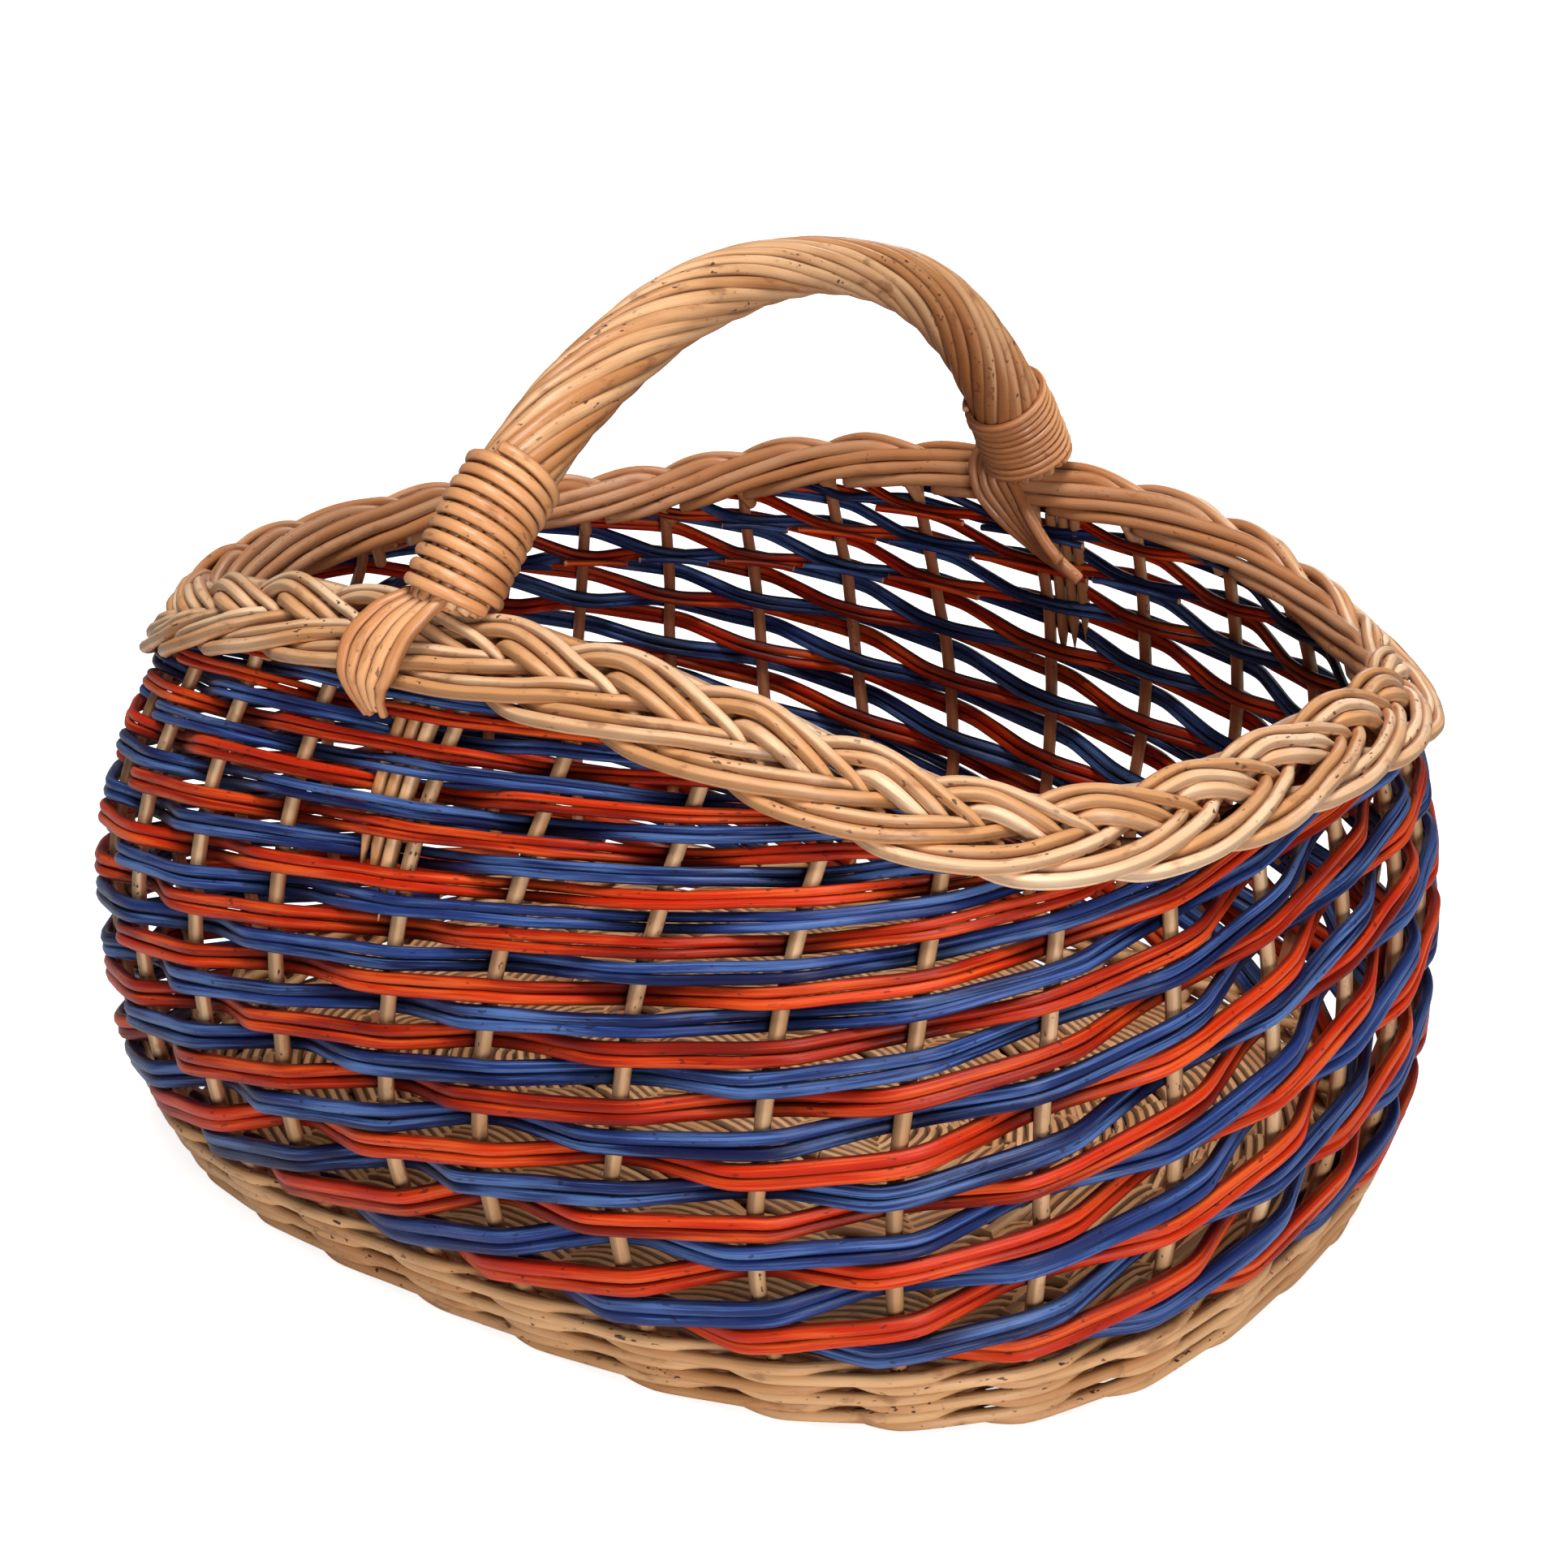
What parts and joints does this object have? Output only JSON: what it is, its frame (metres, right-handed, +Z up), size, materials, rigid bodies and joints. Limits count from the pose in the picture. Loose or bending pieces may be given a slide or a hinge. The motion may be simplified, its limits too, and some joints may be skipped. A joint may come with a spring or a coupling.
{
  "type": "wicker shopping basket",
  "caption": "Oval open wicker shopping basket with a bellied openwork wall of spiralling coloured rods, a plaited border and a fixed roped bow handle across the middle.",
  "frame": {"origin": "centre of the box of the whole basket, on the plane that it stands on", "axes": "+X along the basket's length, +Y across it in the plane of the handle, +Z up"},
  "size_m": [0.4683, 0.4052, 0.3301],
  "materials": {
    "red_willow": "dyed and sealed, satin",
    "blue_willow": "dyed and sealed, satin",
    "upright_willow": "peeled willow, satin",
    "base_willow": "peeled willow, matt",
    "upsett_willow": "peeled willow, satin",
    "border_willow": "peeled willow, satin",
    "binding_willow": "split willow, satin",
    "handle_willow": "peeled willow, satin"
  },
  "bodies": {
    "root": {"base_mat": "base_willow", "blue_weaver_01": "blue_willow", "blue_weaver_02": "blue_willow", "blue_weaver_03": "blue_willow", "blue_weaver_04": "blue_willow", "blue_weaver_05": "blue_willow", "blue_weaver_06": "blue_willow", "blue_weaver_07": "blue_willow", "blue_weaver_08": "blue_willow", "blue_weaver_09": "blue_willow", "blue_weaver_10": "blue_willow", "blue_weaver_11": "blue_willow", "blue_weaver_12": "blue_willow", "blue_weaver_13": "blue_willow", "blue_weaver_14": "blue_willow", "blue_weaver_15": "blue_willow", "blue_weaver_16": "blue_willow", "border_plait": "border_willow", "cross_stick_01": "upright_willow", "cross_stick_02": "upright_willow", "cross_stick_03": "upright_willow", "cross_stick_04": "upright_willow", "cross_stick_05": "upright_willow", "cross_stick_06": "upright_willow", "cross_stick_07": "upright_willow", "cross_stick_08": "upright_willow", "cross_stick_09": "upright_willow", "cross_stick_10": "upright_willow", "cross_stick_11": "upright_willow", "far_binding": "binding_willow", "far_bow_end": "handle_willow", "far_claw": "handle_willow", "handle_rope": "handle_willow", "long_stick_01": "upright_willow", "long_stick_02": "upright_willow", "long_stick_03": "upright_willow", "long_stick_04": "upright_willow", "long_stick_05": "upright_willow", "near_binding": "binding_willow", "near_bow_end": "handle_willow", "near_claw": "handle_willow", "red_weaver_01": "red_willow", "red_weaver_02": "red_willow", "red_weaver_03": "red_willow", "red_weaver_04": "red_willow", "red_weaver_05": "red_willow", "red_weaver_06": "red_willow", "red_weaver_07": "red_willow", "red_weaver_08": "red_willow", "red_weaver_09": "red_willow", "red_weaver_10": "red_willow", "red_weaver_11": "red_willow", "red_weaver_12": "red_willow", "red_weaver_13": "red_willow", "red_weaver_14": "red_willow", "red_weaver_15": "red_willow", "red_weaver_16": "red_willow", "upsett_rod": "upsett_willow"}
  },
  "joints": []
}
